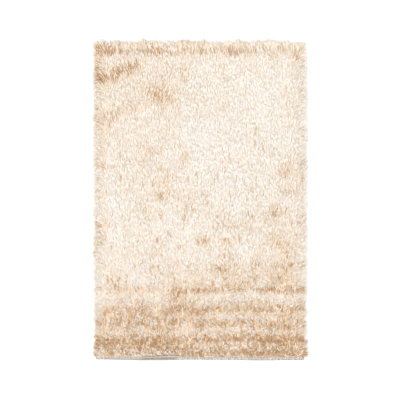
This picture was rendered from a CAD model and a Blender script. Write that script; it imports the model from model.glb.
# %% [markdown]
# # A shag rug, strand by strand
#
# The rug in the photograph is a woven base cloth with long glossy yarn tufted into it. It lies flat
# on a white floor and is seen from straight above. Nearly all that shows is yarn, so this lesson is
# about yarn: how one strand is shaped, how four strands make a tuft, how the tufts lean with the
# nap, and how the colour of the pile comes from where the nap is parted.
#
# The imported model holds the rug's true size. It has two nodes: the base cloth, and the pile as one
# lumpy slab. Both are replaced here by finer meshes that keep to the same places.

# %% Load the rug's frame
import math

import bpy
import numpy as np
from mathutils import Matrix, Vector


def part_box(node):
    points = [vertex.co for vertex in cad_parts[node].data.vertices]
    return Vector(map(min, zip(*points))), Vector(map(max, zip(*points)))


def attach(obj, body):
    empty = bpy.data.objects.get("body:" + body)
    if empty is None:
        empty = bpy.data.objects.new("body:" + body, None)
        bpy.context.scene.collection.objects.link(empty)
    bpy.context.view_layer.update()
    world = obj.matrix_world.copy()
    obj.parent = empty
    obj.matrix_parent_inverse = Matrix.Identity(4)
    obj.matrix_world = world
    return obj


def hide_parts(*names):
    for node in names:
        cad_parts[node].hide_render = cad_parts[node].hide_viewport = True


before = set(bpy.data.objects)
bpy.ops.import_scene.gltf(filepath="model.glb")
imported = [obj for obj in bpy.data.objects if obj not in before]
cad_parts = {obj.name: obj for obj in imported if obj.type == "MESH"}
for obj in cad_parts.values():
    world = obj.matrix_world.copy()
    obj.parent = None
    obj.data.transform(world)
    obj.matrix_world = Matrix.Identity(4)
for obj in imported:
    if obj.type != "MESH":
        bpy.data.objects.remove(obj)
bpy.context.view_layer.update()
cloth_low, cloth_high = (np.array(corner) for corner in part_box("base_cloth"))
pile_low, pile_high = (np.array(corner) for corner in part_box("pile"))
print("cloth", cloth_low.round(4), cloth_high.round(4))
print("pile", pile_low.round(4), pile_high.round(4))

# %% [markdown]
# ## Sizes
#
# Everything is in metres. A strand of real long-pile yarn is about 3 mm wide and flat like a ribbon,
# and as it leans, some 30 to 45 mm of it show from above. The outermost tufts stand inside the
# cloth's edges, and their strands reach past.

# %% Name the sizes
PILE_HALF_WIDTH = 0.580  # the outermost tufts of the long edges
CLOTH_BARE = 0.022  # from each end of the cloth to its first tufts
CLOTH_TOP = 0.0028
HEM_TOP = 0.0050

chance = np.random.default_rng(1957)
foot_row, head_row = cloth_low[1] + CLOTH_BARE, cloth_high[1] - CLOTH_BARE
middle_x = (cloth_low[0] + cloth_high[0]) / 2
print("tufts stand from", round(foot_row, 4), "to", round(head_row, 4))

# %% [markdown]
# ## A mesh from arrays
#
# Each piece is worked out as whole numpy arrays: an array of points and an array of faces that all
# have the same number of corners. `foreach_set` hands them to Blender at once, which takes a
# fraction of a second even for a hundred thousand faces.


# %% Make pieces from arrays
def new_piece(name, points, faces, uv=None, layer="OFBake"):
    """A flat-shaded mesh. faces is a list of arrays, each with one row of point numbers per face.

    uv, if given, is a list of arrays like faces with two numbers for each corner.
    """
    sizes = np.concatenate([np.full(len(block), block.shape[1]) for block in faces])
    corners = np.concatenate([block.ravel() for block in faces])
    mesh = bpy.data.meshes.new(name)
    mesh.vertices.add(len(points))
    mesh.vertices.foreach_set("co", points.astype(np.float32).ravel())
    mesh.loops.add(len(corners))
    mesh.loops.foreach_set("vertex_index", corners.astype(np.int32))
    mesh.polygons.add(len(sizes))
    starts = np.concatenate([[0], np.cumsum(sizes)[:-1]])
    mesh.polygons.foreach_set("loop_start", starts.astype(np.int32))
    mesh.polygons.foreach_set("use_smooth", np.zeros(len(sizes), bool))
    if uv is not None:
        places = np.concatenate([block.reshape(-1, 2) for block in uv])
        mesh.uv_layers.new(name=layer).uv.foreach_set("vector", places.astype(np.float32).ravel())
    mesh.update(calc_edges=True)
    mesh.validate()
    piece = bpy.data.objects.new(name, mesh)
    bpy.context.scene.collection.objects.link(piece)
    print(f"{name}: {len(points)} points, {int((sizes - 2).sum())} triangles")
    return piece


# %% [markdown]
# ## The base cloth
#
# The yarn is tufted into a woven cloth. Its long sides are cut edges, and its two ends are turned over
# once as hems, so an end has two layers, a rounded fold and a raw lip. A box would show none of that.
# Here the section through the cloth, from end to end, is one closed profile, and it is carried across
# the rug. Each end's edge strays a little from straight on the way, and so do the sides.

# %% Let the cloth's edges stray
STRAYS = ((0.0009, 7.3), (0.0005, 23.0))  # how far an edge strays, and how fast it waves
EDGE_ROOM = 0.0014  # the two strays together
PHASES = dict(foot=2.6, head=4.4, left=-1.0, right=1.0)  # each edge strays in places of its own
FOOT_SAG = (0.0020, 0.62, 0.28)  # how deep the foot's long waves are, how long, and how far on
FOOT_FULLER = (0.0018, -0.12, 0.15)  # how much further out its right half lies, from where, over what


def strayed(along, edge):
    """How far an edge strays from straight: a sum of stray * sin(rate * (along + phase))."""
    return sum(stray * np.sin(rate * (along + PHASES[edge])) for stray, rate in STRAYS)


def foot_edge(x):
    """Where the foot's edge lies: it strays, less a sag and less what its right half lies further out.

    The sag is deep * cos(2 pi (x + on) / long), and the right half's share goes straight from 0 to 1.
    """
    deep, long, on = FOOT_SAG
    further, start, stretch = FOOT_FULLER
    sag = deep * np.cos(2 * math.pi * (x + on) / long)
    fuller = further * np.clip((x - start) / stretch, 0, 1)
    return cloth_low[1] + EDGE_ROOM + strayed(x, "foot") - sag - fuller


def head_edge(x):
    """Where the head's edge lies."""
    return cloth_high[1] - EDGE_ROOM + strayed(x, "head")


print("the foot's edge at the left, middle and right:", foot_edge(np.array([-0.5, 0.0, 0.5])).round(4))

# %% Carry the cloth's section across the rug
HEM_SECTION = np.array(
    [  # distance from the end's edge, height
        (0.0130, 0.0000), (0.0060, 0.0000), (0.0018, 0.0001), (0.0005, 0.0009),
        (0.0000, 0.0024), (0.0005, 0.0040), (0.0019, 0.0048), (0.0060, 0.0050),
        (0.0104, 0.0050), (0.0124, 0.0048), (0.0131, 0.0040), (0.0133, 0.0031),
        (0.0150, 0.0028),
    ]
)
CLOTH_ROWS = 28
CLOTH_STATIONS = 97


def cloth_section():
    """The closed profile: for each point its end, its distance from that end, and its height.

    It runs round the foot hem, over the top to the head, round the head hem and back underneath.
    Between the hems, a point's distance is measured as a share of the way from foot to head.
    """
    flat = np.linspace(0, 1, CLOTH_ROWS + 1)[1:-1]
    away, up = HEM_SECTION.T
    share = np.concatenate([0 * away, flat, 0 * away + 1, flat[::-1]])
    offset = np.concatenate([away, 0 * flat, -away[::-1], 0 * flat])
    height = np.concatenate([up, 0 * flat + CLOTH_TOP, up[::-1], 0 * flat])
    return share, offset, height


def weave_cloth():
    """The base cloth: its section at each station from left to right, closed at both sides."""
    share, offset, height = cloth_section()
    s = np.linspace(0, 1, CLOTH_STATIONS)[:, None]
    x_flat = cloth_low[0] + (cloth_high[0] - cloth_low[0]) * s
    foot, head = foot_edge(x_flat), head_edge(x_flat)
    hem = HEM_SECTION[-1, 0]
    y = np.where(
        (share > 0) & (share < 1),
        foot + hem + (head - foot - 2 * hem) * share,
        np.where(share == 0, foot + offset, head + offset),
    )
    left = cloth_low[0] + EDGE_ROOM + strayed(y, "left")
    right = cloth_high[0] - EDGE_ROOM + strayed(y, "right")
    x = left + (right - left) * s
    points = np.stack([x, y, np.broadcast_to(height, y.shape)], -1)
    stations, size = y.shape
    number = np.arange(stations * size).reshape(stations, size)
    after = np.roll(number, -1, axis=1)
    quads = np.stack([number[:-1], number[1:], after[1:], after[:-1]], -1).reshape(-1, 4)
    step = np.hypot(np.diff(y[0], append=y[0, :1]), np.diff(height, append=height[:1]))
    along = np.concatenate([[0], np.cumsum(step)])
    places = np.stack([x, np.broadcast_to(along[:-1], y.shape)], -1).reshape(-1, 2)
    side_places = places[quads]
    side_places[quads[:, 3] % size == 0, 2:, 1] = along[-1]
    ends = [number[:1, :], number[-1:, ::-1]]
    fold = int(np.argmin(HEM_SECTION[:, 0]))
    folds = [along[fold], along[2 * len(HEM_SECTION) + CLOTH_ROWS - 2 - fold]]
    print("folds lie at", np.round(folds, 4), "along the section")
    cloth = new_piece(
        "woven_base",
        points.reshape(-1, 3),
        [quads] + ends,
        [side_places] + [places[end] for end in ends],
        layer="cloth_length",
    )
    return cloth, folds


base_cloth, folds = weave_cloth()

# %% [markdown]
# ## A few words for materials
#
# A material is a network of nodes. Every finish of this rug is made of the same few: sums, waves, a
# ramp of colours, a tint and a bump. So there is a short word for each.


# %% Name the nodes' words
class Wiring:
    """The nodes and links of one tree."""

    def __init__(self, tree):
        self.nodes, self.links = tree.nodes, tree.links

    def give(self, node, values):
        """Sets a node's inputs: each is linked to a socket, or holds a number or colour itself."""
        for name, value in dict(values).items():
            if isinstance(value, bpy.types.NodeSocket):
                self.links.new(value, node.inputs[name])
            else:
                node.inputs[name].default_value = value

    def put(self, kind, values=(), **settings):
        """A new shader node with its settings and its inputs' values."""
        node = self.nodes.new("ShaderNode" + kind)
        for name, value in settings.items():
            setattr(node, name, value)
        self.give(node, values)
        return node

    def maths(self, operation, *values):
        """The result of a sum on sockets or numbers."""
        return self.put("Math", enumerate(values), operation=operation).outputs[0]

    def scaled(self, value, factor, plus=0.0):
        """value * factor + plus."""
        return self.maths("MULTIPLY_ADD", value, factor, plus)

    def between(self, share, start, end):
        """From start to end as the share goes from 0 to 1."""
        return self.scaled(share, end - start, start)

    def wave(self, value, length):
        """From 0 to 1 and back over each length of the value: 0.5 + 0.5 sin(2 pi value / length)."""
        return self.scaled(self.maths("SINE", self.scaled(value, 2 * math.pi / length)), 0.5, 0.5)

    def ramp(self, value, stops):
        """The colour at a value's place on a ramp through (place, colour) stops."""
        node = self.put("ValToRGB", {"Fac": value})
        elements = node.color_ramp.elements
        elements.remove(elements[-1])
        for number, (place, colour) in enumerate(stops):
            stop = elements.new(place) if number else elements[0]
            stop.position = place
            stop.color = (*colour, 1.0)
        return node.outputs["Color"]

    def tinted(self, colour, tint, share=1.0):
        """The colour times a tint, as far as the share says."""
        values = {"Factor": share, "A": colour, "B": tint}
        return self.put("Mix", values, data_type="RGBA", blend_type="MULTIPLY").outputs["Result"]

    def bump(self, height, distance, strength=1.0):
        """The normals of a surface that the height raises by up to a distance."""
        values = {"Height": height, "Distance": distance, "Strength": strength}
        return self.put("Bump", values).outputs["Normal"]


def new_material(name):
    """An empty material, its wiring, and its Principled shader."""
    material = bpy.data.materials.new(name)
    material.use_nodes = True
    wiring = Wiring(material.node_tree)
    wiring.nodes.clear()
    shader = wiring.put("BsdfPrincipled")
    wiring.put("OutputMaterial", {"Surface": shader.outputs[0]})
    return material, wiring, shader


# %% [markdown]
# ## The cloth's weave
#
# A plain weave is a chequer of threads: warp on top in one square, weft in the next. In each square
# the upper thread is round across its own width and dips at both ends, where it goes under. A node
# group works that out from a place in metres, so three finishes can share it: the cloth's, and those
# of the lip and the inside of its loose hem. Slubs and stains are in it too.

# %% Weave a finish
THREAD_PITCH = 0.0016
THREAD_DIP = 0.4  # how much lower a thread lies at its ends, as a share
TONE_SHARES = dict(height=0.40, thread=0.25, slub=0.25)  # and the stains' share is given
SLUB_SCALE = 160.0
SLUB_RAISED = 0.3  # as a share of a thread's height
WEAVE_RAISED = 0.0006
WOVEN_ROUGHNESS = (0.94, 0.78)  # between the threads and on top of them


def plain_weave_group():
    """A plain weave with slubs and stains, from a place, a thread's pitch and the stains' own values.

    With u and v the place in threads, a square's parity is (floor(u) + floor(v)) mod 2. The upper
    thread's height is root(|sin(pi u)|) * (1 - dip + dip |sin(pi v)|), or the same with u and v
    changed over, by that parity. The tone adds up shares of that height, of a number drawn for each
    thread, of fine noise for the slubs and of broad noise for the stains.
    """
    group = bpy.data.node_groups.new("plain_weave", "ShaderNodeTree")
    group.interface.new_socket("Place", in_out="INPUT", socket_type="NodeSocketVector")
    for name in ("Pitch", "Stain Scale", "Stain Share"):
        group.interface.new_socket(name, in_out="INPUT", socket_type="NodeSocketFloat")
    for name in ("Tone", "Height", "Relief"):
        group.interface.new_socket(name, in_out="OUTPUT", socket_type="NodeSocketFloat")
    given, made = group.nodes.new("NodeGroupInput").outputs, group.nodes.new("NodeGroupOutput")
    wiring = Wiring(group)
    maths, scaled = wiring.maths, wiring.scaled
    place = wiring.put("SeparateXYZ", {0: given["Place"]}).outputs
    u, v = (maths("DIVIDE", place[axis], given["Pitch"]) for axis in "XY")
    across = [maths("ABSOLUTE", maths("SINE", scaled(way, math.pi))) for way in (u, v)]
    count = [maths("FLOOR", way) for way in (u, v)]
    parity = maths("FLOORED_MODULO", maths("ADD", *count), 2.0)

    def upper(warp, weft):
        return scaled(maths("SUBTRACT", warp, weft), parity, weft)

    tops = [
        maths("MULTIPLY", maths("SQRT", mine), scaled(other, THREAD_DIP, 1 - THREAD_DIP))
        for mine, other in (across, across[::-1])
    ]
    height = upper(*tops)
    whose = wiring.put("CombineXYZ", {0: upper(*count), 1: parity}).outputs[0]
    thread = wiring.put("TexWhiteNoise", {"Vector": whose}, noise_dimensions="2D").outputs["Value"]
    grain = {"Vector": given["Place"], "Scale": SLUB_SCALE, "Detail": 3.0}
    slub = wiring.put("TexNoise", grain).outputs["Fac"]
    patches = {"Vector": given["Place"], "Scale": given["Stain Scale"]}
    stain = wiring.put("TexNoise", patches).outputs["Fac"]
    tone = scaled(height, TONE_SHARES["height"])
    tone = scaled(thread, TONE_SHARES["thread"], tone)
    tone = scaled(slub, TONE_SHARES["slub"], tone)
    tone = scaled(stain, given["Stain Share"], tone)
    relief = scaled(slub, SLUB_RAISED, height)
    wiring.give(made, {"Tone": tone, "Height": height, "Relief": relief})
    return group


plain_weave = plain_weave_group()
print("the weave's group has", len(plain_weave.nodes), "nodes")

# %% [markdown]
# ## The cloth's grime
#
# Cloth on a floor gets dirty where it is folded, so it darkens towards the folds of its hems, in
# patches. Its finish is laid on by a map of its own, its width one way and the way along its section
# the other, because the weave goes round a fold with the cloth.

# %% Finish the base cloth
SOIL_ABOVE = 0.0020  # the grime is darkest this far up from the middle of a fold
SOIL_REACH = 0.0060
SOIL_PATCHES = (120.0, 1.8)  # the scale of its patches, and how strong they are
SOIL_TINT = (0.42, 0.42, 0.42, 1.0)
CLOTH_STAINS = (5.0, 0.20)  # their scale, and their share of the tone
CLOTH_TONES = (
    # share  linear red, green, blue
    (0.00, (0.290, 0.255, 0.212)),
    (0.45, (0.455, 0.408, 0.355)),
    (1.00, (0.600, 0.550, 0.495)),
)


def soiled(wiring, colour, place):
    """The colour with grime on it near the hems' folds, in patches.

    Its share is (1 - distance to the nearer fold / SOIL_REACH) times soft noise, none below 0.
    """
    along = wiring.put("SeparateXYZ", {0: place}).outputs["Y"]
    darkest = (folds[0] + SOIL_ABOVE, folds[1] - SOIL_ABOVE)
    away = [wiring.maths("ABSOLUTE", wiring.maths("SUBTRACT", along, spot)) for spot in darkest]
    near = wiring.scaled(wiring.maths("MINIMUM", *away), -1 / SOIL_REACH, 1.0)
    patch = wiring.put("TexNoise", {"Vector": place, "Scale": SOIL_PATCHES[0]}).outputs["Fac"]
    share = wiring.maths("MULTIPLY", near, wiring.scaled(patch, SOIL_PATCHES[1]))
    return wiring.tinted(colour, SOIL_TINT, share)


def woven_finish(name, tones, stains, layer=None):
    """Woven cloth: threads of slightly different tones, dark hollows between them, fine slubs.

    Its place comes from the map that layer names, or else from Object coordinates.
    """
    material, wiring, shader = new_material(name)
    if layer:
        place = wiring.put("UVMap", uv_map=layer).outputs["UV"]
    else:
        place = wiring.put("TexCoord").outputs["Object"]
    values = {"Place": place, "Pitch": THREAD_PITCH}
    values.update({"Stain Scale": stains[0], "Stain Share": stains[1]})
    weave = wiring.put("Group", values, node_tree=plain_weave).outputs
    colour = wiring.ramp(weave["Tone"], tones)
    finish = {
        "Base Color": soiled(wiring, colour, place) if layer else colour,
        "Normal": wiring.bump(weave["Relief"], WEAVE_RAISED, 0.8),
        "Roughness": wiring.between(weave["Height"], *WOVEN_ROUGHNESS),
        "Specular IOR Level": 0.25,
        "Sheen Weight": 0.2,
        "Sheen Roughness": 0.5,
    }
    wiring.give(shader, finish)
    return material


backing = woven_finish("woven_backing", CLOTH_TONES, CLOTH_STAINS, "cloth_length")
base_cloth.data.materials.append(backing)
print("the base cloth is finished with", len(backing.node_tree.nodes), "nodes")

# %% [markdown]
# ## The hem's stitches
#
# A lockstitch holds each hem down, some 5 mm in from its raw lip. Every stitch is a thread that comes
# up, lies on the cloth and goes down again: a thin tube round an arch, with its two ends sunk in the
# cloth. The arches are worked out together, and a tube with four sides is enough for a thread.

# %% Stitch the hems
STITCH_PITCH = 0.0062
STITCH_LENGTH = 0.0047
STITCH_FROM_EDGE = 0.0080
STITCH_STRAY = 0.00025
STITCHES_FROM_SIDE = (0.008, 0.012)
THREAD_HALF = 0.00055
ARCH_HEIGHT = 1.9  # in half threads, from its ends, which are sunk by one


def tubes(name, lines, half, sides=4):
    """Closed tubes round many lines at once: half * (cos a, sin a) across each line's own way."""
    count, stations = lines.shape[:2]
    ahead = np.gradient(lines, axis=1)
    ahead /= np.linalg.norm(ahead, axis=-1, keepdims=True)
    beside = np.cross([0.0, 0.0, 1.0], ahead)
    beside /= np.linalg.norm(beside, axis=-1, keepdims=True)
    over = np.cross(ahead, beside)
    a = 2 * math.pi * (np.arange(sides) + 0.5) / sides
    ring = np.cos(a)[:, None] * beside[:, :, None, :] + np.sin(a)[:, None] * over[:, :, None, :]
    points = (lines[:, :, None, :] + half * ring).reshape(-1, 3)
    number = np.arange(len(points)).reshape(count, stations, sides)
    after = np.roll(number, -1, axis=2)
    walls = np.stack([number[:, :-1], after[:, :-1], after[:, 1:], number[:, 1:]], -1)
    caps = np.concatenate([number[:, 0, ::-1], number[:, -1]])
    return new_piece(name, points, [walls.reshape(-1, 4), caps])


def stitch_lines(edge, inwards):
    """Arches in a row along an end: z = HEM_TOP + THREAD_HALF * (ARCH_HEIGHT * sin(pi t) - 1)."""
    start, end = STITCHES_FROM_SIDE
    x = np.arange(cloth_low[0] + start, cloth_high[0] - end, STITCH_PITCH)
    t = np.linspace(0, 1, 5)
    along = x[:, None] + STITCH_LENGTH * t
    y = edge(along) + inwards * STITCH_FROM_EDGE + chance.normal(0, STITCH_STRAY, (len(x), 1))
    z = HEM_TOP + THREAD_HALF * (ARCH_HEIGHT * np.sin(math.pi * t) - 1.0) * np.ones_like(along)
    return np.stack([along, y, z], -1)


stitches = tubes(
    "hem_stitches",
    np.concatenate([stitch_lines(foot_edge, 1.0), stitch_lines(head_edge, -1.0)]),
    THREAD_HALF,
)

# %% [markdown]
# ## Sewing thread
#
# The thread is a pale cord of twisted plies. A wave that runs slantwise over it raises the plies and
# darkens the hollows between them.

# %% Finish the thread
THREAD_TWIST = 0.0009
THREAD_RAISED = 0.0002
THREAD_ROUGHNESS = (0.68, 0.54)  # in the hollows and on the plies
THREAD_TONES = ((0.0, (0.42, 0.37, 0.30)), (0.6, (0.68, 0.63, 0.55)), (1.0, (0.76, 0.72, 0.64)))


def thread_finish():
    """Sewing thread: its plies are wave((x + y) / THREAD_TWIST)."""
    material, wiring, shader = new_material("sewing_thread")
    place = wiring.put("TexCoord").outputs["Object"]
    x, y, _ = wiring.put("SeparateXYZ", {0: place}).outputs
    ply = wiring.wave(wiring.maths("ADD", x, y), THREAD_TWIST)
    finish = {
        "Base Color": wiring.ramp(ply, THREAD_TONES),
        "Normal": wiring.bump(ply, THREAD_RAISED),
        "Roughness": wiring.between(ply, *THREAD_ROUGHNESS),
    }
    wiring.give(shader, finish)
    return material


stitches.data.materials.append(thread_finish())
print("stitches are finished with", stitches.data.materials[0].name)

# %% [markdown]
# ## The loose stretch of the hem
#
# Left of the foot's middle the hem has worked loose. Its fold has rolled towards us, so its shaded
# inside shows as a darker ribbon along the edge, and behind that its pale raw lip lies up against the
# first tufts. Both are a flat section carried along the hem, which closes in a point at both ends.

# %% Lay the loose hem
BAND_STATIONS = 90
BAND_SIDES = 10
FRAY_WAVES = ((1.0, 410.0, 0.0), (0.7, 733.0, 1.0))  # share, rate and phase
BAND_RIPPLE = (0.0006, 95.0)
BAND_ABOVE = 0.0007  # the middle of its front edge, over the hem
HEM_BANDS = (
    # piece      from x  to x    gap from  to      width   lift    thick   fullest fray
    ("hem_lip", -0.330, -0.112, +0.0155, 0.0180, 0.0085, 0.0150, 0.0012, 1.8, 0.0009),
    ("hem_fold", -0.352, -0.116, -0.0012, 0.0030, 0.0125, 0.0012, 0.0022, 1.0, 0.0004),
)
LIP_TONES = (
    (0.45, (0.380, 0.345, 0.290)),
    (0.65, (0.680, 0.640, 0.580)),
    (0.85, (0.850, 0.820, 0.780)),
)
FOLD_TONES = (
    (0.50, (0.130, 0.110, 0.078)),
    (0.72, (0.350, 0.305, 0.225)),
    (0.90, (0.560, 0.510, 0.430)),
)


def hem_band(name, start, end, gap, last_gap, width, lift, thick, fullest, fray):
    """A flattened tube along the foot: at angle a its section is (width/2 cos a, thick/2 sin a).

    Its front edge is gap behind the cloth's, and its back edge lies higher by lift. Its size along
    the way s goes as root(4 q (1 - q)), with q = s ** fullest, so fullest moves its widest place.
    """
    s = np.linspace(0, 1, BAND_STATIONS)[:, None]
    a = 2 * math.pi * np.arange(BAND_SIDES) / BAND_SIDES
    x = start + (end - start) * s
    full = np.sqrt(np.clip(4 * s**fullest * (1 - s**fullest), 0, 1))
    frayed = fray * sum(share * np.sin(rate * x + phase) for share, rate, phase in FRAY_WAVES)
    back = (1 + np.cos(a)) / 2
    y = foot_edge(x) + gap + (last_gap - gap) * s + (width + frayed) * back * full
    raised = lift * back**1.5 + thick / 2 * np.sin(a) + BAND_RIPPLE[0] * np.sin(BAND_RIPPLE[1] * x)
    z = HEM_TOP + BAND_ABOVE + raised * full
    points = np.stack([np.broadcast_to(x, y.shape), y, z], -1)
    poles = points[[0, -1], 0]
    points = points[1:-1].reshape(-1, 3)
    number = np.arange(len(points)).reshape(-1, BAND_SIDES)
    after = np.roll(number, -1, axis=1)
    walls = np.stack([number[:-1], after[:-1], after[1:], number[1:]], -1).reshape(-1, 4)
    first = np.stack([after[0], number[0], np.full(BAND_SIDES, len(points))], -1)
    last = np.stack([number[-1], after[-1], np.full(BAND_SIDES, len(points) + 1)], -1)
    faces = [walls, np.concatenate([first, last])]
    return new_piece(name, np.concatenate([points, poles]), faces)


lip, fold = (hem_band(*row) for row in HEM_BANDS)
lip.data.materials.append(woven_finish("raw_lip", LIP_TONES, (70.0, 0.35)))
fold.data.materials.append(woven_finish("hem_inside", FOLD_TONES, (90.0, 0.42)))

# %% [markdown]
# ## How the nap lies
#
# Long pile is never even. Where it has been brushed or trodden the strands turn aside, lie flat or
# part, and there the eye looks into the deeper, darker yarn. The patches are placed by hand: each is
# an ellipse with a turn, how much darker its yarn looks, how far its strands swing round and how much
# flatter they lie. The ruffled end has crests and troughs that run right across. Their chart gives
# the yarn's tone at the left and at the right, how far the nap swings and how mottled it is.

# %% Chart the nap
PATCHES = (
    # x      y       half_length half_width turn   darker swing  flatter
    # (where darker is below 0, the yarn is lighter)
    # the head
    (-0.238, +0.844, 0.140, 0.026, +0.00, 0.37, +0.25, 0.20),
    (+0.190, +0.842, 0.125, 0.026, +0.00, 0.42, +0.25, 0.20),
    (-0.010, +0.850, 0.080, 0.024, +0.00, 0.19, -0.20, 0.10),
    (+0.480, +0.850, 0.060, 0.020, +0.00, 0.15, -0.20, 0.10),
    (-0.530, +0.848, 0.065, 0.028, +0.00, 0.62, -0.40, 0.20),
    (-0.585, +0.757, 0.024, 0.080, +0.00, 0.22, -0.30, 0.10),
    (-0.535, +0.696, 0.085, 0.032, +0.28, 0.62, +0.45, 0.25),
    (-0.425, +0.740, 0.050, 0.030, +0.35, 0.50, +0.45, 0.25),
    (-0.357, +0.766, 0.022, 0.028, +0.00, 0.36, +0.45, 0.20),
    (-0.085, +0.730, 0.030, 0.050, +0.00, 0.13, -0.20, 0.10),
    (-0.228, +0.605, 0.064, 0.050, +0.00, 0.38, -0.30, 0.15),
    (-0.200, +0.580, 0.030, 0.034, +0.00, 0.12, -0.20, 0.10),
    (-0.522, +0.455, 0.085, 0.028, +0.75, 0.26, +0.40, 0.15),
    (-0.380, +0.524, 0.080, 0.028, +0.45, 0.20, +0.40, 0.15),
    # the middle
    (-0.090, +0.240, 0.034, 0.044, +0.00, 0.24, +0.40, 0.10),
    (-0.280, +0.265, 0.036, 0.032, +0.00, 0.15, +0.40, 0.10),
    (-0.193, +0.090, 0.044, 0.060, +0.00, 0.18, -0.35, 0.10),
    (-0.215, +0.018, 0.044, 0.022, +0.00, 0.28, -0.35, 0.10),
    (-0.413, +0.055, 0.055, 0.028, +0.00, 0.16, +0.30, 0.10),
    (+0.510, +0.165, 0.085, 0.022, +0.00, 0.17, +0.30, 0.10),
    (-0.560, +0.100, 0.045, 0.420, +0.00, 0.05, -0.20, 0.05),
    (+0.585, +0.350, 0.025, 0.400, +0.00, 0.02, +0.20, 0.05),
    (+0.508, +0.045, 0.085, 0.026, +0.00, 0.20, +0.30, 0.10),
    (+0.428, -0.076, 0.042, 0.028, +0.00, 0.36, -0.50, 0.15),
    (+0.500, -0.075, 0.060, 0.020, +0.00, 0.14, -0.30, 0.10),
    (+0.190, -0.146, 0.090, 0.022, +0.00, 0.15, +0.30, 0.10),
    (+0.012, -0.228, 0.044, 0.022, +0.00, 0.40, +0.40, 0.10),
    (+0.160, -0.226, 0.060, 0.016, +0.00, 0.12, +0.30, 0.10),
    (+0.465, -0.240, 0.062, 0.056, +0.00, 0.17, -0.50, 0.10),
    # above the ruffles
    (+0.120, -0.394, 0.058, 0.032, +0.00, 0.46, +0.30, 0.10),
    (+0.300, -0.384, 0.050, 0.020, +0.00, 0.12, +0.20, 0.10),
    (+0.465, -0.368, 0.078, 0.014, +0.00, 0.38, +0.20, 0.10),
    (+0.474, -0.450, 0.074, 0.048, +0.00, 0.28, +0.20, 0.10),
    (+0.250, -0.430, 0.110, 0.034, +0.00, 0.14, +0.20, 0.10),
    (-0.140, -0.590, 0.058, 0.110, +0.00, 0.28, +0.20, 0.10),
    # the ruffles and the foot
    (-0.520, -0.805, 0.050, 0.036, +0.00, 0.24, +0.40, 0.10),
    (-0.270, -0.815, 0.085, 0.034, +0.00, 0.20, -0.40, 0.10),
    (+0.460, -0.820, 0.110, 0.060, +0.00, 0.27, +0.40, 0.10),
    (-0.390, -0.500, 0.130, 0.016, +0.00, 0.14, +0.20, 0.00),
    (-0.140, -0.530, 0.035, 0.040, +0.00, 0.15, +0.20, 0.00),
    (+0.100, -0.620, 0.090, 0.014, +0.00, 0.15, +0.20, 0.00),
    (+0.490, -0.530, 0.060, 0.020, +0.00, 0.16, +0.20, 0.00),
    (+0.470, -0.635, 0.120, 0.028, +0.00, 0.12, +0.20, 0.00),
    (-0.300, -0.577, 0.100, 0.016, +0.00, -.14, +0.20, 0.00),
    (-0.500, -0.757, 0.080, 0.020, +0.00, -.18, +0.20, 0.00),
    (-0.080, -0.802, 0.080, 0.016, +0.00, -.15, +0.20, 0.00),
    (-0.100, -0.757, 0.110, 0.026, +0.00, -.19, +0.20, 0.00),
    (-0.580, -0.620, 0.030, 0.110, +0.00, -.20, +0.20, 0.00),
)

RUFFLES = (
    # y      left   right  swing  mottled
    (-0.890, 0.615, 0.465, 0.50, 1.5),
    (-0.864, 0.485, 0.285, 0.55, 1.5),
    (-0.812, 0.395, 0.675, 0.55, 1.5),
    (-0.784, 0.395, 0.225, 0.60, 1.5),
    (-0.756, 0.675, 0.595, 0.60, 1.5),
    (-0.734, 0.655, 0.915, 0.60, 1.5),
    (-0.718, 0.615, 0.555, 0.60, 1.5),
    (-0.700, 0.455, 0.315, 0.60, 1.5),
    (-0.684, 0.595, 0.585, 0.60, 1.5),
    (-0.666, 0.675, 0.845, 0.55, 1.5),
    (-0.645, 0.675, 0.725, 0.50, 1.5),
    (-0.604, 0.585, 0.475, 0.50, 1.5),
    (-0.580, 0.875, 0.795, 0.45, 1.5),
    (-0.548, 0.915, 1.005, 0.40, 1.4),
    (-0.525, 0.825, 0.715, 0.40, 1.4),
    (-0.508, 0.735, 0.485, 0.40, 1.4),
    (-0.490, 0.895, 0.765, 0.36, 1.4),
    (-0.455, 0.935, 0.895, 0.32, 1.4),
    (-0.400, 0.91, 0.83, 0.28, 1.3),
    (-0.330, 0.89, 0.85, 0.22, 1.2),
    (-0.200, 0.90, 0.88, 0.18, 1.3),
    (+0.100, 0.90, 0.91, 0.14, 1.0),
    (+0.400, 0.86, 0.92, 0.12, 0.7),
    (+0.780, 0.82, 0.89, 0.14, 0.8),
    (+0.900, 0.70, 0.74, 0.25, 0.8),
)
RUFFLE_COLUMNS = ("y", "left", "right", "swing", "mottled")
RUFFLES_PART = (-0.090, 0.120)  # where the left column gives way to the right one, and over how much
RUFFLES_FROM = (0.25, 0.40)  # how far below the middle they begin, and over how much they grow
print("the nap has", len(PATCHES), "patches, and", len(RUFFLES), "rows of ruffles and smooth pile")


def smooth_step(share):
    """From 0 to 1 with level ends: s * s * (3 - 2 * s)."""
    share = np.clip(share, 0, 1)
    return share * share * (3 - 2 * share)


def ruffled(y):
    """From 0 in smooth pile to 1 in the ruffles at the foot."""
    return smooth_step((-y - RUFFLES_FROM[0]) / RUFFLES_FROM[1])


def charted(y, column):
    """A column of the ruffles' chart at y, straight between its rows."""
    chart = np.array(RUFFLES)
    return np.interp(y, chart[:, 0], chart[:, RUFFLE_COLUMNS.index(column)])


# %% [markdown]
# ## Soft chance
#
# Between what is charted the nap varies by chance, but neighbours are alike. Numbers drawn on a
# coarse net and mixed between its knots do that, and several nets give broad and fine unevenness.

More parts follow.
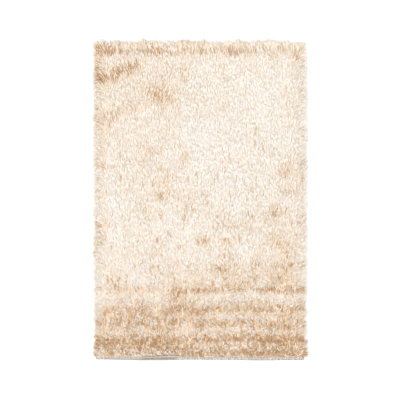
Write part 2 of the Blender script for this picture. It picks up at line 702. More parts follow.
# %% Read the nap with its unevenness
# Each net's share, pitch and seed.
RUFFLE_WAVER = ((0.008, 0.25, 3), (0.006, 0.07, 4))
BROAD_MOTTLE = ((0.05, 0.16, 5), (0.045, 0.06, 6))
FINE_MOTTLE = ((0.035, 0.030, 9), (0.03, 0.016, 10))
NAP_TURNS = ((1.0, 0.20, 7), (0.8, 0.07, 8))
RUFFLED_EVENER = 0.35  # the share of their broad mottle that the ruffles lack


def soft_noise(x, y, pitch, seed):
    """Numbers from -1 to 1 that change slowly over the rug.

    Even random numbers sit on a square net of the given pitch; between the knots they are mixed
    with weights t * t * (3 - 2 * t), so there is no crease at a knot.
    """
    net = np.random.default_rng(seed).uniform(-1, 1, (64, 64))
    u, v = x / pitch + 1000.0, y / pitch + 1000.0
    i, j = np.floor(u).astype(int), np.floor(v).astype(int)
    s, t = smooth_step(u - i), smooth_step(v - j)
    a, b = net[i % 64, j % 64], net[(i + 1) % 64, j % 64]
    c, d = net[i % 64, (j + 1) % 64], net[(i + 1) % 64, (j + 1) % 64]
    return (a * (1 - s) + b * s) * (1 - t) + (c * (1 - s) + d * s) * t


def unevenness(x, y, nets):
    """The sum of share * soft_noise over several nets."""
    return sum(share * soft_noise(x, y, pitch, seed) for share, pitch, seed in nets)


def nap_at(x, y):
    """How the nap lies at places on the rug: its tone, how it turns, and how flat it lies.

    A patch's share is exp(-(ahead / half_length) ** 2 - (aside / half_width) ** 2).
    """
    along = y + unevenness(x, y, RUFFLE_WAVER) * np.clip(-y / 0.3, 0, 1)
    on_right = np.clip((x - RUFFLES_PART[0]) / RUFFLES_PART[1] + 0.5, 0, 1)
    tone = charted(along, "left") * (1 - on_right) + charted(along, "right") * on_right
    mottle = unevenness(x, y, BROAD_MOTTLE) * (1 - RUFFLED_EVENER * ruffled(y))
    tone = tone + charted(y, "mottled") * (mottle + unevenness(x, y, FINE_MOTTLE))
    turn = charted(y, "swing") * unevenness(x, y, NAP_TURNS)
    flat = np.zeros_like(x)
    for centre_x, centre_y, length, width, angle, darker, swung, flatter in PATCHES:
        across, up = x - centre_x, y - centre_y
        ahead = across * math.cos(angle) + up * math.sin(angle)
        aside = up * math.cos(angle) - across * math.sin(angle)
        share = np.exp(-((ahead / length) ** 2) - (aside / width) ** 2)
        tone = tone - darker * share
        turn = turn + swung * share
        flat = flat + flatter * share
    return tone, turn, flat


print("tone at the head, middle and foot", nap_at(np.zeros(3), np.array([0.8, 0.0, -0.8]))[0].round(2))

# %% [markdown]
# ## How high the nap stands
#
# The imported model's pile already has the rug's lumps, waves and rounded rim. A fine net is laid over
# it from above with a Shrinkwrap modifier, and the net's heights are read back. Each tuft then ends
# where the solid's surface is, so the yarn has the solid's form.

# %% Lay a net over the pile
NET_PITCH = 0.012
NET_ABOVE = 0.10

net_x = np.arange(pile_low[0], pile_high[0] + NET_PITCH, NET_PITCH)
net_y = np.arange(pile_low[1], pile_high[1] + NET_PITCH, NET_PITCH)


def net_heights():
    """The height of the pile's top at each knot of the net, 0 where the net misses it."""
    x, y = np.meshgrid(net_x, net_y, indexing="ij")
    points = np.stack([x, y, np.full_like(x, NET_ABOVE)], -1).reshape(-1, 3)
    mesh = bpy.data.meshes.new("net")
    mesh.vertices.add(len(points))
    mesh.vertices.foreach_set("co", points.ravel())
    net = bpy.data.objects.new("net", mesh)
    bpy.context.scene.collection.objects.link(net)
    press = net.modifiers.new("press", "SHRINKWRAP")
    press.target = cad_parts["pile"]
    press.wrap_method = "PROJECT"
    press.use_project_z = True
    press.use_negative_direction = True
    press.use_positive_direction = False
    laid = net.evaluated_get(bpy.context.evaluated_depsgraph_get())
    found = np.empty(len(points) * 3)
    laid.data.vertices.foreach_get("co", found)
    bpy.data.objects.remove(net)
    bpy.data.meshes.remove(mesh)
    heights = found.reshape(-1, 3)[:, 2]
    heights[heights > NET_ABOVE - 1e-4] = 0.0
    return heights.reshape(len(net_x), len(net_y))


pile_top = net_heights()
print("pile top: mean", pile_top[pile_top > 0.02].mean().round(4), "highest", pile_top.max().round(4))


def top_at(x, y):
    """The height of the pile's top at places, straight between the four knots round each."""
    u = np.clip((x - net_x[0]) / NET_PITCH, 0, len(net_x) - 1.001)
    v = np.clip((y - net_y[0]) / NET_PITCH, 0, len(net_y) - 1.001)
    i, j = np.floor(u).astype(int), np.floor(v).astype(int)
    s, t = u - i, v - j
    low = pile_top[i, j] * (1 - s) + pile_top[i + 1, j] * s
    high = pile_top[i, j + 1] * (1 - s) + pile_top[i + 1, j + 1] * s
    return low * (1 - t) + high * t


# %% [markdown]
# ## One strand
#
# A strand rises from the cloth, bends over with the nap and ends in a point. Its middle line is a
# curve of one parameter, t, from 0 at the root to 1 at the tip:
#
# - forward, it has gone `run * t ** LEAN`, so that it starts upright and then leans;
# - up, it stands at `rise * (1 - (1 - t) ** 2) - droop * t ** 3`;
# - sideways, it strays by `curl * t * sin(TURNS * t + phase)`.
#
# Round that line goes a flattened three-sided section, which is twisted a little on the way. Three
# sides are enough for yarn, and keep a strand at ten triangles.

# %% Shape strands
# Along a strand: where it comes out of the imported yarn, its bend, and its tip.
STATIONS = np.array([0.20, 0.70, 1.0])
WIDTHS = np.array([0.9, 1.0])  # of its section before the tip, as shares
SECTION = np.radians([90.0, 210.0, 330.0])
FLATNESS = 0.55  # thickness as a share of width
LEAN = 1.5
TURNS = 4.0
STRAND_POINTS = 7  # 0 to 2 round its first section, 3 to 5 round its second, and 6 at its tip
WALLS = np.array([(0, 1, 4, 3), (1, 2, 5, 4), (2, 0, 3, 5)])
ENDS = np.array([(3, 4, 6), (4, 5, 6), (5, 3, 6), (2, 1, 0)])


def strand_points(root, azimuth, run, rise, droop, curl, phase, width, twist, start):
    """The points of all strands: for each strand, three to a station and then its tip.

    start takes the first station's place: 0 where the strand can be seen down to the cloth.
    """
    t = np.repeat(STATIONS[None, :], len(root), axis=0)
    t[:, 0] = start
    level = np.zeros_like(azimuth)
    ahead = np.stack([np.cos(azimuth), np.sin(azimuth), level], -1)
    beside = np.stack([-np.sin(azimuth), np.cos(azimuth), level], -1)
    up = np.array([0.0, 0.0, 1.0])
    forward = run[:, None] * t**LEAN
    sideways = curl[:, None] * t * np.sin(TURNS * t + phase[:, None])
    height = rise[:, None] * (1 - (1 - t) ** 2) - droop[:, None] * t**3
    line = (
        root[:, None, :]
        + forward[..., None] * ahead[:, None, :]
        + sideways[..., None] * beside[:, None, :]
        + height[..., None] * up
    )
    tangent = np.gradient(line, axis=1)
    tangent /= np.linalg.norm(tangent, axis=-1, keepdims=True)
    side = beside[:, None, :] - tangent * (tangent * beside[:, None, :]).sum(-1, keepdims=True)
    side /= np.linalg.norm(side, axis=-1, keepdims=True)
    back = np.cross(tangent, side)
    turn, tilt = np.cos(twist[:, None] * t)[..., None], np.sin(twist[:, None] * t)[..., None]
    flat = side * turn + back * tilt
    thick = back * turn - side * tilt
    half = (width[:, None] / 2 * WIDTHS)[:, :, None]
    rings = (
        line[:, :-1, None, :]
        + (half * np.cos(SECTION))[..., None] * flat[:, :-1, None, :]
        + (FLATNESS * half * np.sin(SECTION))[..., None] * thick[:, :-1, None, :]
    )
    return np.concatenate([rings.reshape(len(root), -1, 3), line[:, -1:, :]], axis=1)


def strand_faces(count):
    """The faces of strands: the tables' point numbers, moved on by STRAND_POINTS for each strand."""
    first = STRAND_POINTS * np.arange(count)[:, None, None]
    return [(table + first).reshape(-1, table.shape[1]) for table in (WALLS, ENDS)]


print("a strand has", STRAND_POINTS, "points and", 2 * len(WALLS) + len(ENDS), "triangles")

# %% [markdown]
# ## A strand's place on the colour map
#
# The yarn's finish needs to know two things of a point: its strand's tone, and how far along the
# strand it is. They are the map's two directions. Each strand has a narrow column at its tone, whose
# width goes once round the strand, so a finish can follow its twist too.

# %% Lay strands on the colour map
TONE_SPREAD = 0.004  # the width of one strand's column
# For each corner of WALLS and ENDS: its share of the way round, and along.
WALLS_ROUND = np.array([(k, k + 1, k + 1, k) for k in range(3)]) / 3
WALLS_ALONG = STATIONS[[[0, 0, 1, 1]] * 3]
ENDS_ROUND = np.array([*((k, k + 1, k + 0.5) for k in range(3)), (3, 1.5, 0)]) / 3
ENDS_ALONG = np.array([*STATIONS[[[1, 1, 2]] * 3], (0.0, 0.02, 0.0)])


def strand_uv(tone):
    """Places on the map: tone + TONE_SPREAD * the share round the strand, and the share along it."""
    places = []
    for around, along in ((WALLS_ROUND, WALLS_ALONG), (ENDS_ROUND, ENDS_ALONG)):
        across = tone[:, None, None] + TONE_SPREAD * around
        both = np.stack(np.broadcast_arrays(across, along[None]), -1)
        places.append(both.reshape(-1, along.shape[1], 2))
    return places


print("a strand of tone 0.5 begins on the map at", strand_uv(np.array([0.5]))[0][0, 0])

# %% [markdown]
# ## Tufts in rows
#
# Tufts stand in staggered rows, as a tufting machine sets them, each a little out of its place. More
# rows stand at the ends, where the pile is seen from the side, and the loose hem presses some back.

# %% Set the tufts
TUFT_ACROSS = 0.0060
TUFT_ALONG = 0.0154
TUFT_STRAY = 0.45  # as a share of either
MORE_ROWS = (0.005, 0.020)  # from the first row at the foot, and the nearer one at the head too
LOOSE_HEM = (-0.338, -0.118)  # the stretch whose first tufts are pressed back
LIP_BACK = 0.0265  # how far they stand from the edge there


def tuft_places():
    """Staggered rows of tufts over the cloth, each moved a little at random."""
    across = np.linspace(-1, 1, 1 + int(2 * PILE_HALF_WIDTH / TUFT_ACROSS)) * PILE_HALF_WIDTH
    along = np.arange(foot_row, head_row + TUFT_ALONG / 2, TUFT_ALONG)
    more = [foot_row + MORE_ROWS[0], foot_row + MORE_ROWS[1], head_row - MORE_ROWS[0]]
    along = np.sort(np.concatenate([along, more]))
    x, y = np.meshgrid(across, along)
    x = x + (np.arange(len(along)) % 2 - 0.5)[:, None] * TUFT_ACROSS / 2
    x = x + chance.uniform(-TUFT_STRAY, TUFT_STRAY, x.shape) * TUFT_ACROSS
    y = y + chance.uniform(-TUFT_STRAY, TUFT_STRAY, y.shape) * TUFT_ALONG
    pressed = (x > LOOSE_HEM[0]) & (x < LOOSE_HEM[1])
    y = np.where(pressed, np.maximum(y, foot_edge(x) + LIP_BACK), y)
    return middle_x + x.ravel(), y.ravel()


tuft_x, tuft_y = tuft_places()
print("tufts:", len(tuft_x))

# %% [markdown]
# ## How a tuft lies
#
# A tuft leans with the nap. Near the rim it splays outwards and droops, as nothing holds it up there.
# In the ruffles tufts stand up more, turn every way and end at uneven heights. A patch that has been
# pressed lies flatter and reaches further.

# %% Lean the tufts
STRAND_RUN = 0.044  # how far a strand leans
UNEVEN = 0.25  # how much runs and widths vary, as a share
EDGE_ZONE = 0.068  # within this of the rim the strands splay outwards
SPLAY_OUT = 1.9  # outwards at the sides, with 1 for the nap's own way
SPLAY_HEAD = 0.5  # the share of that which the head's corners lack, and what the head leans more
SPLAY_BACK = (0.9, -0.1)  # what the left side and the right one lean less
SIDE_SHORTER = (0.25, 0.14)  # what runs lose at the left side and the right one, as shares
HEAD_LONGER = 0.55
RUFFLED_SHORTER = 0.32
RUFFLED_LOOSER = 8  # tufts in the ruffles turn this many times further from the nap
TUFT_TURN = 0.07  # how far tufts turn from the nap, in radians
RISE_UNEVEN = (0.16, 0.35)  # how much lower a tuft may stand, and more in the ruffles, as shares
FLAT_LONGER, FLAT_LOWER = 0.5, 0.25
RIM_DROOP = 0.75
TURN_SEEN, TOP_SEEN = 0.7, 0.8  # where along its run a tuft follows the nap's turn, and the top


def lie_of_tufts(x, y):
    """For tufts at places x, y: their way, run, rise, droop, share of a side, and way to the rim.

    A rim's share is smooth_step(1 - distance / EDGE_ZONE). The way is the nap's own, as the vector
    (cos, sin) of its turn, plus SPLAY_OUT outwards at the sides and SPLAY_HEAD ahead at the head.
    """
    turn, flat = nap_at(x, y + TURN_SEEN * STRAND_RUN)[1:]
    leftmost, rightmost = middle_x - PILE_HALF_WIDTH, middle_x + PILE_HALF_WIDTH
    to_rim = [x - leftmost, rightmost - x, y - foot_row, head_row - y]
    left, right, foot, head = (smooth_step(1 - distance / EDGE_ZONE) for distance in to_rim)
    side = np.maximum(left, right)
    azimuth = math.pi / 2 + turn
    ahead_x = np.cos(azimuth) + SPLAY_OUT * (right - left) * (1 - SPLAY_HEAD * head)
    ahead_y = np.sin(azimuth) + SPLAY_HEAD * head - SPLAY_BACK[0] * left * (1 - head)
    azimuth = np.arctan2(ahead_y - SPLAY_BACK[1] * right, ahead_x)
    azimuth = azimuth + chance.normal(0, TUFT_TURN, len(x)) * (1 + RUFFLED_LOOSER * ruffled(y))
    run = STRAND_RUN * (1 + UNEVEN * chance.uniform(-1, 1, len(x))) * (1 + FLAT_LONGER * flat)
    run = run * (1 - SIDE_SHORTER[0] * left - SIDE_SHORTER[1] * right) * (1 + HEAD_LONGER * head)
    run = run * (1 - RUFFLED_SHORTER * ruffled(y) * (1 - side))
    reach = TOP_SEEN * run
    seen_x = np.clip(x + reach * np.cos(azimuth), leftmost, rightmost)
    seen_y = np.clip(y + reach * np.sin(azimuth), foot_row, head_row)
    uneven = RISE_UNEVEN[0] + RISE_UNEVEN[1] * ruffled(y)
    rise = (top_at(seen_x, seen_y) - CLOTH_TOP) * (1 - uneven * chance.uniform(0, 1, len(x)) ** 2)
    rise = rise * (1 - FLAT_LOWER * flat)
    rim = np.maximum.reduce([side, head, foot])
    droop = rim * rise * RIM_DROOP * chance.uniform(0, 1, len(x))
    return azimuth, run, rise, droop, side, np.minimum.reduce(to_rim)


print("a strand leans by", STRAND_RUN, "and the pile's middle is", top_at(0.0, 0.0).round(4), "high")

# %% [markdown]
# ## Each strand's tone
#
# A strand's tone is 1 where it lies on top and 0 where it is buried. It comes from the nap's chart. In
# light pile a few yarns in a row have turned and show tan: drawn-out noise, past a threshold, takes
# tone away. In dark pile some lie over the rest and shine: round noise adds as much as it takes.

# %% Draw the strands' tones
FLECK_PITCH = 0.0060
FLECK_DRAWN = 0.50  # a fleck is this much narrower than long
FLECK_BROAD = (0.35, 0.045)  # flecks gather in places of this size
FLECK_FROM = (0.52, 0.40)  # the threshold, and how much past it a fleck is full
FLECK_DARKER = 0.45
LIGHT_FROM = (0.45, 0.40)  # the tone from which pile counts as light, and over how much
GRAIN_PITCH = 0.0055
GRAIN_DRAWN = 1.25
GRAIN_SWING = 0.84
TONE_GRIP = (2.4, 35.0)  # how close tones keep to their mean, and how much more so in light pile


def flecked(x, y, tone):
    """tone - darker * light * fleck + swing * (1 - light) * grain, with each share as above."""
    light = smooth_step((tone - LIGHT_FROM[0]) / LIGHT_FROM[1])
    drawn = soft_noise(x, y * FLECK_DRAWN, FLECK_PITCH, 12)
    drawn = drawn + FLECK_BROAD[0] * soft_noise(x, y, FLECK_BROAD[1], 13)
    fleck = smooth_step((drawn - FLECK_FROM[0]) / FLECK_FROM[1])
    grain = soft_noise(x, y * GRAIN_DRAWN, GRAIN_PITCH, 14)
    darker = FLECK_DARKER * charted(y, "mottled") * light * fleck
    return tone - darker + GRAIN_SWING * (1 - light) * grain


def strand_tones(mean):
    """A tone for each strand, drawn from a beta distribution with the mean given.

    So a light tuft is nearly all light strands with a dark one now and then, and a dark tuft has
    some pale strands lying over its dark ones.
    """
    grip = TONE_GRIP[0] + TONE_GRIP[1] * mean**4
    return 0.01 + 0.975 * chance.beta(grip * mean, grip * (1 - mean))


print("flecks are", FLECK_PITCH, "wide and", FLECK_PITCH / FLECK_DRAWN, "long")

# %% [markdown]
# ## The rim
#
# The rug's sides are straight in the photograph, and at the head its tips end in broad and narrow
# points. So each strand is cut short where it would pass that line, with a little stray of its own.

# %% Trim the rim
RIM = dict(left=-0.6115, right=0.6215, head=0.8990)  # where the yarn ends
RIM_STRAY = 0.0035
RIM_SHORTEST = 0.006  # the least that is left of a run
HEAD_POINTS = ((0.006, 0.030, 15), (0.016, 0.0075, 16))  # broad and narrow: how far, pitch, seed


def rim_trimmed(x, y, azimuth, run):
    """Runs cut short where a tip would pass the rim: run - overshoot / cos or sin of its way."""
    stray = chance.normal(0, RIM_STRAY, len(x))
    tip_x, tip_y = x + run * np.cos(azimuth), y + run * np.sin(azimuth)
    beyond = np.maximum(tip_x - RIM["right"] - stray, RIM["left"] - stray - tip_x)
    run = run - np.maximum(beyond, 0) / np.maximum(np.abs(np.cos(azimuth)), 0.2)
    ragged = unevenness(tip_x, 0 * y, HEAD_POINTS) + 0.6 * stray
    beyond = np.maximum(tip_y - RIM["head"] - stray - ragged, 0)
    run = run - beyond / np.maximum(np.abs(np.sin(azimuth)), 0.2)
    return np.maximum(run, RIM_SHORTEST)


print("the yarn spans", round(RIM["right"] - RIM["left"], 4), "across")

# %% [markdown]
# ## Strands in tufts
#
# Four strands share each tuft: they start side by side, 6 mm from the first to the last, and lie
# nearly the same way, so a tuft reads as one lock of yarn. In the ruffles strands are a little finer
# and curl more. At the very rim they can be seen down to the cloth, so there they start at it.

# %% Grow strands from tufts
STRANDS_IN_TUFT = 4
TUFT_HALF = 0.0030  # half the way from its first root to its last
RIM_SPREAD = 1.3  # how much wider a tuft falls at the sides
RIM_LOOSER = 3  # and how many times further its strands turn there
STRAND_TURN = 0.04  # how far the strands in a tuft turn from its way, in radians
STRAND_WIDTH = 0.0032
FINER = (0.10, 0.15)  # how much narrower in the ruffles, and at the rim
CURL = 0.0005  # how far a strand strays sideways
RUFFLED_CURL = 6  # and how many times more in the ruffles
TWIST = 0.8
RUN_STRAY, RISE_STRAY, TONE_STRAY = 0.0025, 0.0008, 0.02
BARED = (0.010, 0.025)  # how near the rim a strand starts at the cloth, and how that ends inwards
TONE_SEEN = 0.72  # where along its run a strand's tone is read from the chart


def strands(x, y, azimuth, run, rise, droop, curl, width, start):
    """The arguments of strand_points for strands at x, y. The rest of each is left to chance."""
    n = len(x)
    return dict(
        root=np.stack([x, y, np.full(n, CLOTH_TOP)], -1),
        azimuth=azimuth,
        run=run,
        rise=rise,
        droop=droop,
        curl=curl * chance.normal(0, 1, n),
        phase=chance.uniform(0, 2 * math.pi, n),
        width=width * (1 + UNEVEN * chance.uniform(-1, 1, n)),
        twist=chance.normal(0, TWIST, n),
        start=start,
    )


def grow(x, y):
    """The strands of tufts at places x, y, and their tones."""
    azimuth, run, rise, droop, side, to_rim = lie_of_tufts(x, y)
    many, size = STRANDS_IN_TUFT, len(x) * STRANDS_IN_TUFT

    def each(values, spread):
        return np.repeat(values, many) + chance.normal(0, spread, size)

    side = np.repeat(side, many)
    beside = np.tile(np.linspace(-1, 1, many), len(x)) * TUFT_HALF * (1 + RIM_SPREAD * side)
    turned = each(azimuth, STRAND_TURN)
    turned = turned + chance.normal(0, STRAND_TURN, size) * RIM_LOOSER * side
    root_x = np.repeat(x, many) - beside * np.sin(turned)
    root_y = np.repeat(y, many) + beside * np.cos(turned)
    run = rim_trimmed(root_x, root_y, turned, np.abs(each(run, RUN_STRAY)))
    seen_x = root_x + TONE_SEEN * run * np.cos(turned)
    seen_y = root_y + TONE_SEEN * run * np.sin(turned)
    tone = flecked(seen_x, seen_y, nap_at(seen_x, seen_y)[0])
    tone = tone + np.repeat(chance.normal(0, TONE_STRAY, len(x)), many)
    bared = np.repeat(smooth_step(1 - (to_rim - BARED[0]) / BARED[1]), many)
    width = STRAND_WIDTH * (1 - FINER[0] * ruffled(root_y)) * (1 - FINER[1] * bared)
    curl = CURL * (1 + RUFFLED_CURL * ruffled(root_y))
    rise, droop = np.clip(each(rise, RISE_STRAY), 0.006, None), np.repeat(droop, many)
    start = STATIONS[0] * (1 - bared)
    made = strands(root_x, root_y, turned, run, rise, droop, curl, width, start)
    return made, strand_tones(np.clip(tone, 0.04, 0.96))


print("strands to come:", len(tuft_x) * STRANDS_IN_TUFT)

# %% [markdown]
# ## The foot's fringe of tips
#
# The pile leans away from the foot, so the hem would lie bare there. In the photograph it does so
# where it has worked loose, and left of that a narrow strip shows. Elsewhere the first tufts have
# fallen outwards, and their short pale tips lie over the hem, sown here in a row of their own.

# %% Lay tips over the foot hem
BARE_HEM_END = (-0.125, 0.05)  # left of this the hem shows, and over how much that changes
FRINGE_PITCH = 0.0042
FRINGE_ROOTS = (0.002, 0.0025)  # how far outside the first row they stand, and how much that varies
FRINGE_RUN = (0.0250, 0.38)  # how far a tip reaches, and how much that varies, as a share
FRINGE_RISE = (0.0125, 0.35)
FRINGE_HELD = 0.72  # the share of its reach that a tip has where the hem shows
FRINGE_BACK = 0.008  # and how much further back its root stands there
FRINGE_DROOP = 0.45
FRINGE_TURN = 0.55
FRINGE_CURL = 0.0022
FRINGE_WIDTH = 0.0028
FRINGE_TONE = (0.84, 0.12)


def fringe():
    """The strands of the fringe, and their tones."""
    x = np.arange(middle_x - PILE_HALF_WIDTH, middle_x + PILE_HALF_WIDTH, FRINGE_PITCH)
    x = x + chance.uniform(-1, 1, len(x)) * FRINGE_PITCH
    x = x[(x < LOOSE_HEM[0]) | (x > LOOSE_HEM[1])]
    n = len(x)
    covered = smooth_step((x - BARE_HEM_END[0]) / BARE_HEM_END[1] + 0.5)
    outside, stray = FRINGE_ROOTS
    y = foot_row - outside + FRINGE_BACK * (1 - covered) + chance.uniform(-stray, stray, n)
    share = FRINGE_HELD + (1 - FRINGE_HELD) * covered
    run = FRINGE_RUN[0] * share * (1 + FRINGE_RUN[1] * chance.uniform(-1, 1, n))
    rise = FRINGE_RISE[0] * (1 + FRINGE_RISE[1] * chance.uniform(-1, 1, n))
    azimuth = -math.pi / 2 + chance.normal(0, FRINGE_TURN, n)
    droop = rise * FRINGE_DROOP
    made = strands(x, y, azimuth, run, rise, droop, FRINGE_CURL, FRINGE_WIDTH, np.zeros(n))
    tone = FRINGE_TONE[0] + chance.normal(0, FRINGE_TONE[1], n)
    return made, strand_tones(np.clip(tone, 0.1, 0.95))


print("tips in the fringe, at most:", int(2 * PILE_HALF_WIDTH / FRINGE_PITCH))

# %% [markdown]
# ## The yarn's colour
#
# The yarn is one dyed colour, a pale champagne. It looks nearly white where strands lie side by side
# and tan where one looks down between them, because light that bounces between strands is dyed a
# little more each time. So the colour follows a strand's tone, and the roots are deeper than the
# tips. Side by side, one strand looks rosier and the next more golden and a little darker. Each is
# two plies twisted together, which a bump raises. Towards its tip yarn wears smooth, and shines.

# %% Mix the yarn's finish
YARN_TONES = (
    # tone   linear red, green, blue
    (0.00, (0.560, 0.328, 0.148)),
    (0.30, (0.755, 0.545, 0.328)),
    (0.60, (0.905, 0.768, 0.600)),
    (0.85, (0.985, 0.925, 0.840)),
    (1.00, (0.995, 0.965, 0.920)),
)
YARN_TINTS = ((0.0, (0.93, 0.88, 0.82)), (0.45, (0.985, 0.97, 0.95)), (0.8, (1.0, 1.0, 1.0)))
YARN_HUES = ((0.0, (1.00, 0.966, 0.992)), (1.0, (0.925, 0.938, 0.905)))  # rosy and golden
HUE_STEP = 0.023  # strands whose tones differ by half of this take the one and the other
PLIES = 2
TWISTS = 14  # turns along a strand
PLY_RAISED = 0.00008
YARN_ROUGHNESS = (0.51, 0.37)  # at the root and at the tip


def yarn_finish():
    """Yarn: its colour from its tone and from how far along its strand it is, and its plies.

    The plies' height is sin(2 pi (PLIES * share round the strand + TWISTS * share along it)).
    """
    material, wiring, shader = new_material("yarn")
    chart = wiring.put("UVMap", uv_map="OFBake").outputs["UV"]
    tone, along, _ = wiring.put("SeparateXYZ", {0: chart}).outputs
    colour = wiring.tinted(wiring.ramp(tone, YARN_TONES), wiring.ramp(along, YARN_TINTS))
    colour = wiring.tinted(colour, wiring.ramp(wiring.wave(tone, HUE_STEP), YARN_HUES))
    round_strand = wiring.scaled(tone, 2 * math.pi * PLIES / TONE_SPREAD)
    plies = wiring.maths("SINE", wiring.scaled(along, 2 * math.pi * TWISTS, round_strand))
    finish = {
        "Base Color": colour,
        "Normal": wiring.bump(plies, PLY_RAISED),
        "Roughness": wiring.between(along, *YARN_ROUGHNESS),
        "Specular IOR Level": 0.45,
        "Sheen Weight": 0.25,
        "Sheen Roughness": 0.4,
    }
    wiring.give(shader, finish)
    return material


yarn = yarn_finish()
print("the yarn is finished with", len(yarn.node_tree.nodes), "nodes")

# %% [markdown]
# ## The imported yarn
#
# Under its long tips the pile is dense: the lower halves of the strands stand side by side and hide
# the cloth. Single strands down there would cost many faces that no one sees. So that part is one
# surface of the same yarn, in staggered lengths side by side, half as high as the pile. It falls away
# towards the rim and reaches nearly to the cloth's edges.

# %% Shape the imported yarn
PACKED_ACROSS = 0.0048  # about as wide as two strands side by side
PACKED_ALONG = 0.0200
PACKED_PAST = 0.004  # how far it reaches past the outermost tufts
PACKED_SHIFT = (0.25, 0.2)  # how far its points are moved across and along, as shares
PACKED_SHARE = 0.55  # of the pile's height
RUFFLED_LOWER = 0.12  # and this much less of it in the ruffles
PACKED_RIM = (0.012, 0.075)  # how far past the tufts it would end, and how wide its slope is
PACKED_LEAST = 0.002
PACKED_LUMP = (0.0030, 0.021, 11)  # how high its lumps are, their pitch and their seed
PACKED_RIDGE = 0.0013  # how far a length of yarn stands up from its neighbours
PACKED_UNDER = 0.0003  # the way from the cloth to its underside
PACKED_STRAY = 0.08  # how far two lengths differ in tone
PACKED_TONE = (0.08, 0.78)  # shares of the tips' tone and of its square
PACKED_PLACES = (0.04, 0.20)  # where a face begins and ends along the yarn's colour map


def packed_yarn(low_y, high_y):
    """A lumpy slab of yarn across the rug between two rows, as points, faces and colour places.

    Its top is a grid in x and y. The height is a share of the pile's, which falls to nothing
    towards the rim, plus soft noise. A wall goes down from the grid's edge to one flat underside.
    """
    half = PILE_HALF_WIDTH + PACKED_PAST
    columns, rows = int(2 * half / PACKED_ACROSS), int((high_y - low_y) / PACKED_ALONG)
    x, y = np.meshgrid(
        np.linspace(middle_x - half, middle_x + half, columns + 1),
        np.linspace(low_y, high_y, rows + 1),
        indexing="ij",
    )
    stagger = (np.arange(columns + 1) % 2 * 2 - 1)[:, None] * np.ones_like(y)
    inside = np.zeros_like(x)
    inside[1:-1, 1:-1] = 1.0
    aside, on = PACKED_SHIFT
    x = x + inside * chance.uniform(-aside, aside, x.shape) * PACKED_ACROSS
    y = y + inside * (on * stagger + chance.uniform(-on, on, y.shape)) * PACKED_ALONG
    to_side = PILE_HALF_WIDTH - np.abs(x - middle_x)
    to_end = np.minimum(y - foot_row, head_row - y)
    share = smooth_step((np.minimum(to_side, to_end) + PACKED_RIM[0]) / PACKED_RIM[1])
    ridge = PACKED_RIDGE * stagger * inside * chance.uniform(0.3, 1.3, x.shape)
    lump = (unevenness(x, y, [PACKED_LUMP]) + ridge) * share
    height = PACKED_SHARE - RUFFLED_LOWER * ruffled(y)
    z = CLOTH_TOP + PACKED_LEAST + (top_at(x, y) - CLOTH_TOP) * height * share + lump
    top = np.stack([x, y, z], -1).reshape(-1, 3)
    number = np.arange(len(top)).reshape(x.shape)
    quads = np.stack([number[:-1, :-1], number[1:, :-1], number[1:, 1:], number[:-1, 1:]], -1)
    quads = quads.reshape(-1, 4)
    loop = np.concatenate([number[:-1, 0], number[-1, :-1], number[:0:-1, -1], number[0, :0:-1]])
    floor = top[loop] * [1, 1, 0] + [0, 0, CLOTH_TOP + PACKED_UNDER]
    below = len(top) + np.arange(len(loop))
    walls = np.stack([loop, below, np.roll(below, -1), np.roll(loop, -1)], -1)
    above = np.clip(flecked(top[:, 0], top[:, 1], nap_at(top[:, 0], top[:, 1])[0]), 0, 1)
    tone = 0.01 + above * (PACKED_TONE[0] + PACKED_TONE[1] * above)
    left = np.concatenate([tone[quads[:, 0]], tone[loop]])[:, None]
    left = np.clip(left + chance.normal(0, PACKED_STRAY, left.shape), 0.01, 0.98)
    right = left + TONE_SPREAD
    low, high = PACKED_PLACES
    along = np.broadcast_to([low, low, high, high], (len(left), 4))
    places = np.stack([np.concatenate([left, right, right, left], 1), along], -1)
    under_place = np.broadcast_to([0.5, 0.5], (1, len(below), 2))
    faces = [np.concatenate([quads, walls]), below[None, ::-1]]
    return np.concatenate([top, floor]), faces, [places, under_place]


print("packed yarn: one length of yarn for every", PACKED_ACROSS, "across")

# %% [markdown]
# ## Sowing the pile
#
# One mesh of the whole pile would have nearly a million triangles, which is a lot to open or check. So
# it is sown in six bands across the rug, each with its packed yarn and the strands of its own tufts.
# Strands reach over from one band into the next, so no seam shows.

# %% Sow the pile
BANDS = 6
PACKED_BACK = 0.004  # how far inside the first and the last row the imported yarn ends


def sow():
    """The whole pile as pieces, one for each band across the rug: packed yarn with its tufts."""
    edges = np.linspace(foot_row, head_row, BANDS + 1)
    packed_edges = np.clip(edges, foot_row + PACKED_BACK, head_row - PACKED_BACK)
    edges[[0, -1]] = -np.inf, np.inf
    pieces = []
    for number in range(BANDS):
        inside = (tuft_y >= edges[number]) & (tuft_y < edges[number + 1])
        sown = [grow(tuft_x[inside], tuft_y[inside])] + ([fringe()] if number == 0 else [])
        points = np.concatenate([strand_points(**made).reshape(-1, 3) for made, _ in sown])
        tone = np.concatenate([tones for _, tones in sown])
        packed, packed_faces, packed_places = packed_yarn(*packed_edges[number : number + 2])
        piece = new_piece(
            f"pile_band_{number + 1}",
            np.concatenate([points, packed]),
            strand_faces(len(tone)) + [block + len(points) for block in packed_faces],
            strand_uv(tone) + packed_places,
        )
        piece.data.materials.append(yarn)
        pieces.append(piece)
        print("of these,", len(tone), "strands, with a mean tone of", tone.mean().round(3))
    return pieces


bands = sow()

# %% [markdown]
# ## The floor and the light
#
# The photograph is a cut-out on pure white. So the floor is white and wide, and the sky looks white to
# the camera but lights the rug only a little. Two large soft lamps do the rest: one nearly overhead,
# and a weaker one low down at the head, which shines back along the pile against its lean.

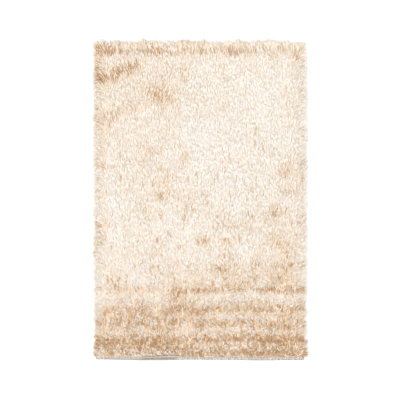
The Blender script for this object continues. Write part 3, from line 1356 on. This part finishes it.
# %% Light the rug
WHITE = (1.0, 1.0, 1.0, 1.0)
FLOOR_HALF = 60.0
FLOOR_AT = -0.0005
FLOOR_WHITE = (0.87, 0.87, 0.87, 1.0)
SKY = 0.35
LAMPS = (
    # name     strength spread tilt about x and y, in degrees
    ("softbox", 2.90, 50, (12.0, -8.0)),
    ("fill", 0.55, 60, (-60.0, 0.0)),
)


def lay_floor():
    """A white floor just under the rug."""
    corners = np.array([[-1, -1, 0], [1, -1, 0], [1, 1, 0], [-1, 1, 0]]) * FLOOR_HALF
    floor = new_piece("floor", corners + [0, 0, FLOOR_AT], [np.array([[0, 1, 2, 3]])])
    material, wiring, shader = new_material("white_floor")
    wiring.give(shader, {"Base Color": FLOOR_WHITE, "Roughness": 0.9})
    floor.data.materials.append(material)


def raise_sky():
    """A sky that is white to the camera and of strength SKY to all else."""
    world = bpy.data.worlds.new("white_sky")
    world.use_nodes = True
    wiring = Wiring(world.node_tree)
    wiring.nodes.clear()
    seen, lit = (
        wiring.put("Background", {"Color": WHITE, "Strength": strength}).outputs[0]
        for strength in (1.0, SKY)
    )
    by_camera = wiring.put("LightPath").outputs["Is Camera Ray"]
    either = wiring.put("MixShader", {0: by_camera, 1: lit, 2: seen}).outputs[0]
    wiring.put("OutputWorld", {"Surface": either})
    bpy.context.scene.world = world


def hang_lamp(name, strength, spread, tilt):
    """A wide distant lamp. Only its tilt and its spread matter, and not its place."""
    lamp = bpy.data.lights.new(name, "SUN")
    lamp.angle = math.radians(spread)
    lamp.energy = strength
    holder = bpy.data.objects.new(name, lamp)
    holder.location = (0.0, 0.0, 4.0)
    holder.rotation_euler = (math.radians(tilt[0]), math.radians(tilt[1]), 0)
    bpy.context.scene.collection.objects.link(holder)


lay_floor()
raise_sky()
for row in LAMPS:
    hang_lamp(*row)
bpy.context.scene.view_settings.view_transform = "Standard"
print("lamps:", ", ".join(name for name, *_ in LAMPS))

# %% [markdown]
# ## The camera
#
# The rug's sides don't converge in the photograph: it was taken from straight above with a long lens.
# A long lens far up does the same here. Its height follows from how much the picture spans.

# %% Hang the camera
VIEW_SIDE = 2.260  # what the picture spans at the height of the pile
VIEW_HEIGHT = 0.03
LENS, SENSOR = 200.0, 36.0  # in millimetres


def hang_camera():
    """The camera above the rug's middle, VIEW_SIDE * LENS / SENSOR over the pile."""
    camera = bpy.data.cameras.new("camera")
    camera.lens = LENS
    camera.sensor_width = SENSOR
    camera.clip_end = 100.0
    holder = bpy.data.objects.new("camera", camera)
    holder.location = (0.0, 0.0, VIEW_HEIGHT + VIEW_SIDE * LENS / SENSOR)
    bpy.context.scene.collection.objects.link(holder)
    bpy.context.scene.camera = holder
    print("the camera hangs at", round(holder.location.z, 3))


hang_camera()

# %% [markdown]
# ## What each piece is
#
# Nothing on the rug moves by itself, so every piece rides on its one body, the root. The bands stand
# for the pile and the woven cloth for the base cloth, and the stitches and the loose hem go with it.
# The cloth is a sheet, cut a little longer than it lies because its ends are turned in.

# %% Say what each piece is
for piece in bands:
    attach(piece, "root")
    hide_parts("pile")
for piece in (base_cloth, stitches, lip, fold):
    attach(piece, "root")
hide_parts("base_cloth")
shown = [*bands, base_cloth, stitches, lip, fold]
print("triangles in all", sum(len(p.vertices) - 2 for piece in shown for p in piece.data.polygons))
